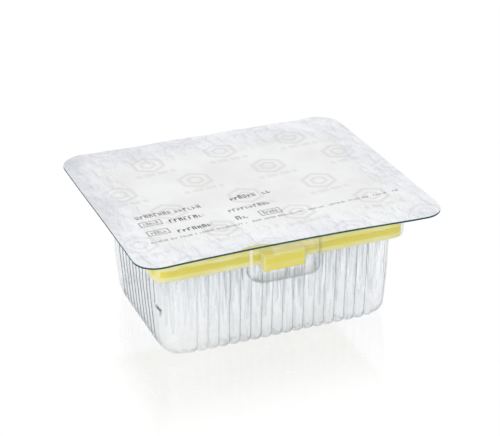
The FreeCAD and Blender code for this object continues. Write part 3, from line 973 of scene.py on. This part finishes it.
def motif_mask(add, place):
    """A faint repeated mark, a hexagon over a row of blocks, on rows 26 mm apart and 38 mm along them."""
    scaled = add("VectorMath", {0: place, 1: (1.0 / 38.0, 1.0 / 26.0, 0.0)}, operation="MULTIPLY")
    parts = add("SeparateXYZ", {0: scaled}).outputs
    row = add("Math", {0: parts[1]}, operation="FLOOR")
    along = add("Math", {0: row, 1: 0.36, 2: parts[0]}, operation="MULTIPLY_ADD")
    x = add("Math", {0: along}, operation="FRACT")
    y = add("Math", {0: parts[1]}, operation="FRACT")
    x = add("Math", {0: x, 1: 38.0, 2: -19.0}, operation="MULTIPLY_ADD")
    y = add("Math", {0: y, 1: 26.0, 2: -15.0}, operation="MULTIPLY_ADD")
    cell = add("CombineXYZ", {0: x, 1: y})
    folded = add("VectorMath", {0: cell}, operation="ABSOLUTE")
    slanted = add("VectorMath", {0: folded, 1: (0.5, 0.866, 0.0)}, operation="DOT_PRODUCT")
    wide = add("SeparateXYZ", {0: folded})
    ring = add("Math", {0: slanted.outputs["Value"], 1: wide}, operation="MAXIMUM")
    # two soft rings, 7 and 3 mm from the middle
    rings = []
    for radius, half in ((6.8, 0.95), (3.2, 0.85)):
        off = add("Math", {0: ring, 1: radius}, operation="SUBTRACT")
        off = add("Math", {0: off}, operation="ABSOLUTE")
        rings.append(add("MapRange", {0: off, 1: half + 0.5, 2: half - 0.5}, **SOFT))
    shape = add("Math", {0: rings[0], 1: rings[1]}, operation="MAXIMUM")
    # blocks 3 mm wide
    bar = add("MapRange", {0: block_distance(add, cell, 0.0, -11.0, 9.9, 1.5), 1: 0.4, 2: -0.4}, **SOFT)
    teeth = add("Math", {0: x, 1: 3.3}, operation="PINGPONG")
    teeth = add("MapRange", {0: teeth, 1: 0.3, 2: 1.0, 4: 0.8}, **SOFT)
    bar = add("Math", {0: bar, 1: teeth}, operation="MULTIPLY")
    return add("Math", {0: shape, 1: bar}, operation="MAXIMUM")


def paper_relief(add, place, edge):
    """The paper's surface: fine fibres, broad dents between the seals, and slanting creases in the seal."""
    fibre = add("TexNoise", {"Vector": place, "Scale": 900.0, "Detail": 3.0})
    fine = add("Bump", {"Height": fibre, "Distance": 0.0001, "Strength": 0.25})
    # dents about 25 mm apart
    dent = add("TexNoise", {"Vector": place, "Scale": 38.0, "Detail": 1.0})
    soft = add("Bump", {"Height": dent, "Distance": 0.0022, "Strength": 0.5, "Normal": fine})
    # creases about 4 mm apart
    slant = add("Mapping", {"Vector": place, "Rotation": (0.0, 0.0, math.radians(38.0)), "Scale": (1.0, 0.45, 1.0)})
    crease = add("TexNoise", {"Vector": slant, "Scale": 230.0, "Detail": 3.0})
    crease = add("MapRange", {0: crease, 1: 0.38, 2: 0.68}, **SOFT)
    sealed = add("MapRange", {0: edge, 1: -16.0, 2: -2.0}, **SOFT)
    crease = add("Math", {0: crease, 1: sealed}, operation="MULTIPLY")
    bump = add("Bump", {"Height": crease, "Distance": 0.001, "Strength": 0.7, "Normal": soft})
    return crease, bump


def paper_material(lid):
    """Coated paper, sealed hot: matt and faintly fibrous, creased along its seal, with a pale tint, grey print, and
    painted shade at its left, at its back, between its seals and in its creases.
    """
    material, add = new_material("coated_seal_paper")
    place = add("TexCoord").outputs["Object"]
    # millimetres, along and across the lines of the print, which slope a little on the sheet
    lines = add("Mapping", {"Vector": place, "Rotation": (0.0, 0.0, -PRINT_TURN), "Scale": (1000.0, 1000.0, 0.0)})
    # the seal is a band about 11 mm wide along the edge
    square = add("Mapping", {"Vector": place, "Scale": (1000.0, 1000.0, 0.0)})
    edge = block_distance(add, square, 0.0, -2.0, 62.0, 50.0)
    band = add("MapRange", {0: edge, 1: -7.0, 2: 2.0}, **SOFT)
    crease, bump = paper_relief(add, place, edge)
    # painted shade: the paper is darker at its left edge, between the seals and in the left half of its back seal,
    # most of all at the back, and it mottles in clouds about 18 mm across
    x, y, _ = add("SeparateXYZ", {0: place}).outputs
    painted_shade = add("MapRange", {0: x, 1: -0.06, 2: -0.069, 4: 0.4}, **SOFT)
    far = add("MapRange", {0: y, 1: -0.05, 2: -0.01}, **SOFT)
    inside = add("MapRange", {0: edge, 1: 2.0, 2: -7.0, 4: 0.11}, **SOFT)
    painted_shade = add("Math", {0: painted_shade, 1: inside}, operation="ADD")
    back = add("MapRange", {0: y, 1: 0.034, 2: 0.052, 4: 0.2}, **SOFT)
    left = add("MapRange", {0: x, 1: 0.005, 2: -0.03}, **SOFT)
    painted_shade = add("Math", {0: back, 1: left, 2: painted_shade}, operation="MULTIPLY_ADD")
    cloud = add("TexNoise", {"Vector": place, "Scale": 55.0, "Detail": 3.0})
    cloud = add("MapRange", {0: cloud, 1: 0.35, 2: 0.7, 4: 0.24}, **SOFT)
    shade_and_mottle = add("Math", {0: painted_shade, 1: far, 2: cloud}, operation="MULTIPLY_ADD")
    warm = add("Mix", {0: band, 6: lid.paper, 7: lid.seal}, data_type="RGBA").outputs[2]
    tint = add("Mix", {0: band, 6: lid.motif, 7: lid.cool}, data_type="RGBA").outputs[2]
    shaded_mottled_paper = add("Mix", {0: shade_and_mottle, 6: warm, 7: tint}, data_type="RGBA").outputs[2]
    # the mark is fainter where the paper is sealed
    faint = add("Math", {0: band, 1: -0.22, 2: 0.52}, operation="MULTIPLY_ADD")
    motif = add("Math", {0: motif_mask(add, lines), 1: faint}, operation="MULTIPLY")
    tinted = add("Mix", {0: motif, 6: shaded_mottled_paper, 7: tint}, data_type="RGBA").outputs[2]
    # painted shade in the creases, in the seal's tint, fainter at the front
    faint = add("Math", {0: far, 1: 0.12, 2: 0.05}, operation="MULTIPLY_ADD")
    crease = add("Math", {0: crease, 1: faint}, operation="MULTIPLY")
    creased = add("Mix", {0: crease, 6: tinted, 7: lid.cool}, data_type="RGBA").outputs[2]
    ink = print_mask(add, lines)
    printed = add("Mix", {0: ink, 6: creased, 7: lid.ink}, data_type="RGBA").outputs[2]
    solid = add("BsdfPrincipled", {"Base Color": printed, "Roughness": 0.62, "Normal": bump})
    glow = add("BsdfTranslucent", {"Color": printed})
    both = add("MixShader", {0: 0.1, 1: solid, 2: glow})
    add("OutputMaterial", {"Surface": both})
    return material


# ---------------------------------------------------------------- plate and tips


class REFILL_OT_plate(Operator):
    """Finish the tip plate in moulded polypropylene"""

    bl_idname = "refill.plate"
    bl_label = "Tip plate"

    def execute(self, context):
        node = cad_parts["tip_plate"]
        node.data.materials.clear()
        node.data.materials.append(plate_material(context.scene.refill_plastic))
        return {"FINISHED"}


def plate_painted_highlights(add, place):
    """Painted highlights: where the plate is made paler along its rounded top, above its foot, on the tab's left face
    and near each end.
    """
    x, y, height = add("SeparateXYZ", {0: place}).outputs
    # the painted highlights break into streaks 1 mm high and 9 mm long
    long = add("Mapping", {"Vector": place, "Scale": (0.12, 1.0, 1.0)})
    streak = add("TexNoise", {"Vector": long, "Scale": 900.0, "Detail": 2.0})
    height = add("Math", {0: streak, 1: 0.0016, 2: height}, operation="MULTIPLY_ADD")
    height = add("Math", {0: height, 1: 0.0008}, operation="SUBTRACT")
    streak = add("MapRange", {0: streak, 1: 0.3, 2: 0.6, 3: 0.3, 4: 0.85}, **SOFT)
    # painted highlights along the rounded top and above the foot, with a deep yellow stripe between; the tab gets
    # them weaker and is deeper all over
    top = add("MapRange", {0: height, 1: 0.0471, 2: 0.0479}, **SOFT)
    foot = add("MapRange", {0: height, 1: 0.0451, 2: 0.0443}, **SOFT)
    painted_highlight = add("Math", {0: top, 1: foot}, operation="MAXIMUM")
    painted_highlight = add("Math", {0: painted_highlight, 1: streak}, operation="MULTIPLY")
    body = add("MapRange", {0: y, 1: -0.0478, 2: -0.0472, 3: 0.35, 4: 1.0}, **SOFT)
    painted_highlight = add("Math", {0: painted_highlight, 1: body}, operation="MULTIPLY")
    # a painted highlight on the tab's left face
    side = add("MapRange", {0: x, 1: -0.0112, 2: -0.0116, 4: 0.8}, **SOFT)
    tab = add("Math", {0: y, 1: -0.0475}, operation="LESS_THAN")
    side = add("Math", {0: side, 1: tab}, operation="MULTIPLY")
    painted_highlight = add("Math", {0: painted_highlight, 1: side}, operation="MAXIMUM")
    # a painted upright highlight near each end
    end = add("Math", {0: x}, operation="ABSOLUTE")
    end = add("Math", {0: end, 1: 0.0588}, operation="SUBTRACT")
    end = add("Math", {0: end}, operation="ABSOLUTE")
    end = add("MapRange", {0: end, 1: 0.0012, 2: 0.0004, 4: 0.65}, **SOFT)
    return add("Math", {0: painted_highlight, 1: end}, operation="MAXIMUM")


def plate_material(plastic):
    """Moulded polypropylene with pigment: satin and slightly waxy, with painted highlights along its rounded edges
    and a painted glow on its upward faces.
    """
    material, add = new_material("moulded_pp_plate")
    place = add("TexCoord").outputs["Object"]
    uneven = add("TexNoise", {"Vector": place, "Scale": 70.0, "Detail": 2.0})
    uneven = add("MapRange", {0: uneven, 1: 0.3, 2: 0.6, 3: 0.7, 4: 1.0}, **SOFT)
    painted_highlight = add("Math", {0: plate_painted_highlights(add, place), 1: uneven}, operation="MULTIPLY")
    colour = add("Mix", {0: painted_highlight, 6: plastic.plate, 7: plastic.painted_highlight}, data_type="RGBA").outputs[2]
    grain = add("TexNoise", {"Vector": place, "Scale": 1400.0, "Detail": 2.0})
    bump = add("Bump", {"Height": grain, "Distance": 0.00005, "Strength": 0.3})
    solid = add("BsdfPrincipled", {"Base Color": colour, "Roughness": 0.32, "IOR": 1.49, "Normal": bump})
    glow = add("BsdfTranslucent", {"Color": colour})
    both = add("MixShader", {0: 0.2, 1: solid, 2: glow})
    # painted light: an emission lifts the upward faces, standing in for light that has come through the paper
    upward = add("NewGeometry").outputs["Normal"]
    upward = add("SeparateXYZ", {0: upward}).outputs[2]
    upward = add("MapRange", {0: upward, 1: 0.2, 2: 0.9, 4: 0.22}, **SOFT)
    painted_top_glow = add("Emission", {"Color": colour, "Strength": upward})
    whole = add("AddShader", {0: both, 1: painted_top_glow})
    add("OutputMaterial", {"Surface": whole})
    return material


class REFILL_OT_tips(Operator):
    """Finish the tips in natural moulded polypropylene"""

    bl_idname = "refill.tips"
    bl_label = "Tips"

    def execute(self, context):
        material = tip_material(context.scene.refill_plastic)
        for name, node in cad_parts.items():
            if name.startswith("tips_column"):
                node.data.materials.clear()
                node.data.materials.append(material)
        return {"FINISHED"}


def tip_material(plastic):
    """Natural polypropylene, moulded thin: milky and see-through, with darker outlines."""
    material, add = new_material("moulded_pp_tip")
    place = add("TexCoord").outputs["Object"]
    # the melt clouds a little, every 3 mm
    cloud = add("TexNoise", {"Vector": place, "Scale": 300.0, "Detail": 1.0})
    facing = add("LayerWeight", {"Blend": 0.5}).outputs["Facing"]
    share = add("MapRange", {0: facing, 1: 0.1, 2: 0.9, 4: 0.16}, **SOFT)
    milky = add("Math", {0: cloud, 1: 0.06, 2: share}, operation="MULTIPLY_ADD", use_clamp=True)
    dark = add("MapRange", {0: facing, 1: 0.58, 2: 0.86, 4: 0.42}, **SOFT)
    clear = add("Mix", {0: dark, 6: plastic.tip, 7: plastic.outline}, data_type="RGBA").outputs[2]
    through = add("BsdfTransparent", {"Color": clear})
    front = add("BsdfPrincipled", {"Base Color": plastic.tip, "Roughness": 0.3, "IOR": 1.49})
    behind = add("BsdfTranslucent", {"Color": plastic.tip})
    solid = add("MixShader", {0: 0.5, 1: front, 2: behind})
    body = add("MixShader", {0: milky, 1: through, 2: solid})
    add("OutputMaterial", {"Surface": only_front(add, body)})
    return material


# ---------------------------------------------------------------- stage


WHITE = from_hex("#FFFFFF")
# The floor's side, and how far it lies below the pack's base so that the two never meet.
FLOOR_SIDE, FLOOR_GAP = 6.0, 0.2 * MM
# The key lamp is a soft square: where it stands, what it points at, its side and its colour.
LAMP_PLACE, LAMP_TARGET = Vector((-0.7, -0.6, 0.35)), Vector((0.0, 0.0, 0.03))
LAMP_SIDE, LAMP_COLOUR = 0.8, from_hex("#FFFEFC")
# The camera's lens and sensor in mm, its place, and the directions of its right, top and back.
LENS, SENSOR = 110.51, 36.0
CAMERA_PLACE = Vector((-0.23772, -0.60642, 0.35592))
CAMERA_AXES = ((0.92775401, -0.37299777, -0.01204823), (0.17186423, 0.39837381, 0.9009778),
               (-0.33126301, -0.83795643, 0.43369787))
# Tips stand twelve deep behind two walls, so many clear faces lie behind each other.
CLEAR_FACES = 64


def add_lamp(power):
    """The key lamp."""
    deselect_all()
    bpy.ops.object.light_add(type="AREA", location=LAMP_PLACE)
    lamp = bpy.context.object
    lamp.name = "key"
    lamp.data.energy = power
    lamp.data.size = LAMP_SIDE
    lamp.data.color = LAMP_COLOUR
    lamp.rotation_euler = (LAMP_TARGET - LAMP_PLACE).to_track_quat("-Z", "Y").to_euler()


def add_camera():
    """The camera, which looks down on the pack from its front left."""
    deselect_all()
    bpy.ops.object.camera_add()
    camera = bpy.context.object
    camera.name = "camera"
    camera.data.lens = LENS
    camera.data.sensor_width = SENSOR
    camera.data.clip_start = 10 * MM
    camera.matrix_world = Matrix.Translation(CAMERA_PLACE) @ Matrix(CAMERA_AXES).transposed().to_4x4()
    bpy.context.scene.camera = camera


def seen_directly(add):
    """1 for what the eye sees straight on, in a mirror or through glass, and 0 for light that bounces."""
    path = add("LightPath").outputs
    seen = add("Math", {0: path["Is Camera Ray"], 1: path["Is Glossy Ray"]}, operation="MAXIMUM")
    return add("Math", {0: seen, 1: path["Is Transmission Ray"]}, operation="MAXIMUM")


def floor_material():
    """White acrylic sheet: bright, with a faint mirror image under what stands on it."""
    material, add = new_material("white_acrylic_floor")
    place = add("TexCoord").outputs["Object"]
    white = add("BsdfDiffuse", {"Color": from_hex("#F9F9F9")})
    # the eye sees a sheet lit from below, which keeps only part of the pack's shadow
    pale = add("BsdfDiffuse", {"Color": from_hex("#3F3F3F")})
    glow = add("Emission", {"Color": WHITE, "Strength": 0.965})
    lit = add("AddShader", {0: pale, 1: glow})
    matt = add("MixShader", {0: seen_directly(add), 1: white, 2: lit})
    gloss = add("BsdfGlossy", {"Color": WHITE, "Roughness": 0.04})
    # the mirror image fades out about 66 mm in front of the pack's base and 26 mm beside it
    scaled = add("VectorMath", {0: place, 1: (2500.0, 1000.0, 0.0)}, operation="MULTIPLY")
    distance = block_distance(add, scaled, 0.0, -2.5, 142.5, 41.0)
    near = add("MapRange", {0: distance, 1: 66.0, 2: 12.0, 4: 0.16}, **SOFT)
    both = add("MixShader", {0: near, 1: matt, 2: gloss})
    add("OutputMaterial", {"Surface": both})
    return material


def room_world(stage):
    """Even pale room light, and a white background for the eye, mirrors and glass."""
    world = bpy.data.worlds.new("studio_room")
    bpy.context.scene.world = world
    add = empty_tree(world)
    light = add("Background", {"Color": from_hex("#FDFEFF"), "Strength": stage.fill})
    white = add("Background", {"Color": WHITE, "Strength": 1.0})
    both = add("MixShader", {0: seen_directly(add), 1: light, 2: white})
    add("OutputWorld", {"Surface": both})


class REFILL_OT_stage(Operator):
    """Add the floor, the soft light and the camera"""

    bl_idname = "refill.stage"
    bl_label = "Stage"

    def execute(self, context):
        stage = context.scene.refill_stage
        room_world(stage)
        deselect_all()
        bpy.ops.mesh.primitive_plane_add(size=FLOOR_SIDE, location=(0.0, 0.0, -FLOOR_GAP))
        floor = named("floor")
        floor.data.materials.append(floor_material())
        add_lamp(stage.key)
        add_camera()
        context.scene.view_settings.view_transform = "Standard"
        context.scene.cycles.transparent_max_bounces = CLEAR_FACES
        return {"FINISHED"}


class REFILL_PT_panel(Panel):
    """The refill pack's steps"""

    bl_label = "Tip refill pack"
    bl_idname = "REFILL_PT_panel"
    bl_space_type = "VIEW_3D"
    bl_region_type = "UI"
    bl_category = "Refill"

    def draw(self, context):
        for operator in OPERATORS:
            self.layout.operator(operator.bl_idname)


SETTINGS = {"refill_tray": TraySettings, "refill_lid": LidSettings, "refill_plastic": PlasticSettings,
            "refill_stage": StageSettings}
OPERATORS = (REFILL_OT_tray, REFILL_OT_lid, REFILL_OT_plate, REFILL_OT_tips, REFILL_OT_stage)
CLASSES = (*SETTINGS.values(), *OPERATORS, REFILL_PT_panel)


def register():
    """Register the classes and hang the settings on the scene."""
    for group in CLASSES:
        bpy.utils.register_class(group)
    for name, group in SETTINGS.items():
        setattr(bpy.types.Scene, name, PointerProperty(type=group))


def unregister():
    """Take the settings and the classes away again."""
    for name in SETTINGS:
        delattr(bpy.types.Scene, name)
    for group in reversed(CLASSES):
        bpy.utils.unregister_class(group)


def main():
    """Build every piece in order."""
    register()
    for step in (bpy.ops.refill.tray, bpy.ops.refill.lid, bpy.ops.refill.plate, bpy.ops.refill.tips,
                 bpy.ops.refill.stage):
        if step() != {"FINISHED"}:
            raise RuntimeError("a step didn't finish")


if __name__ == "__main__":
    main()
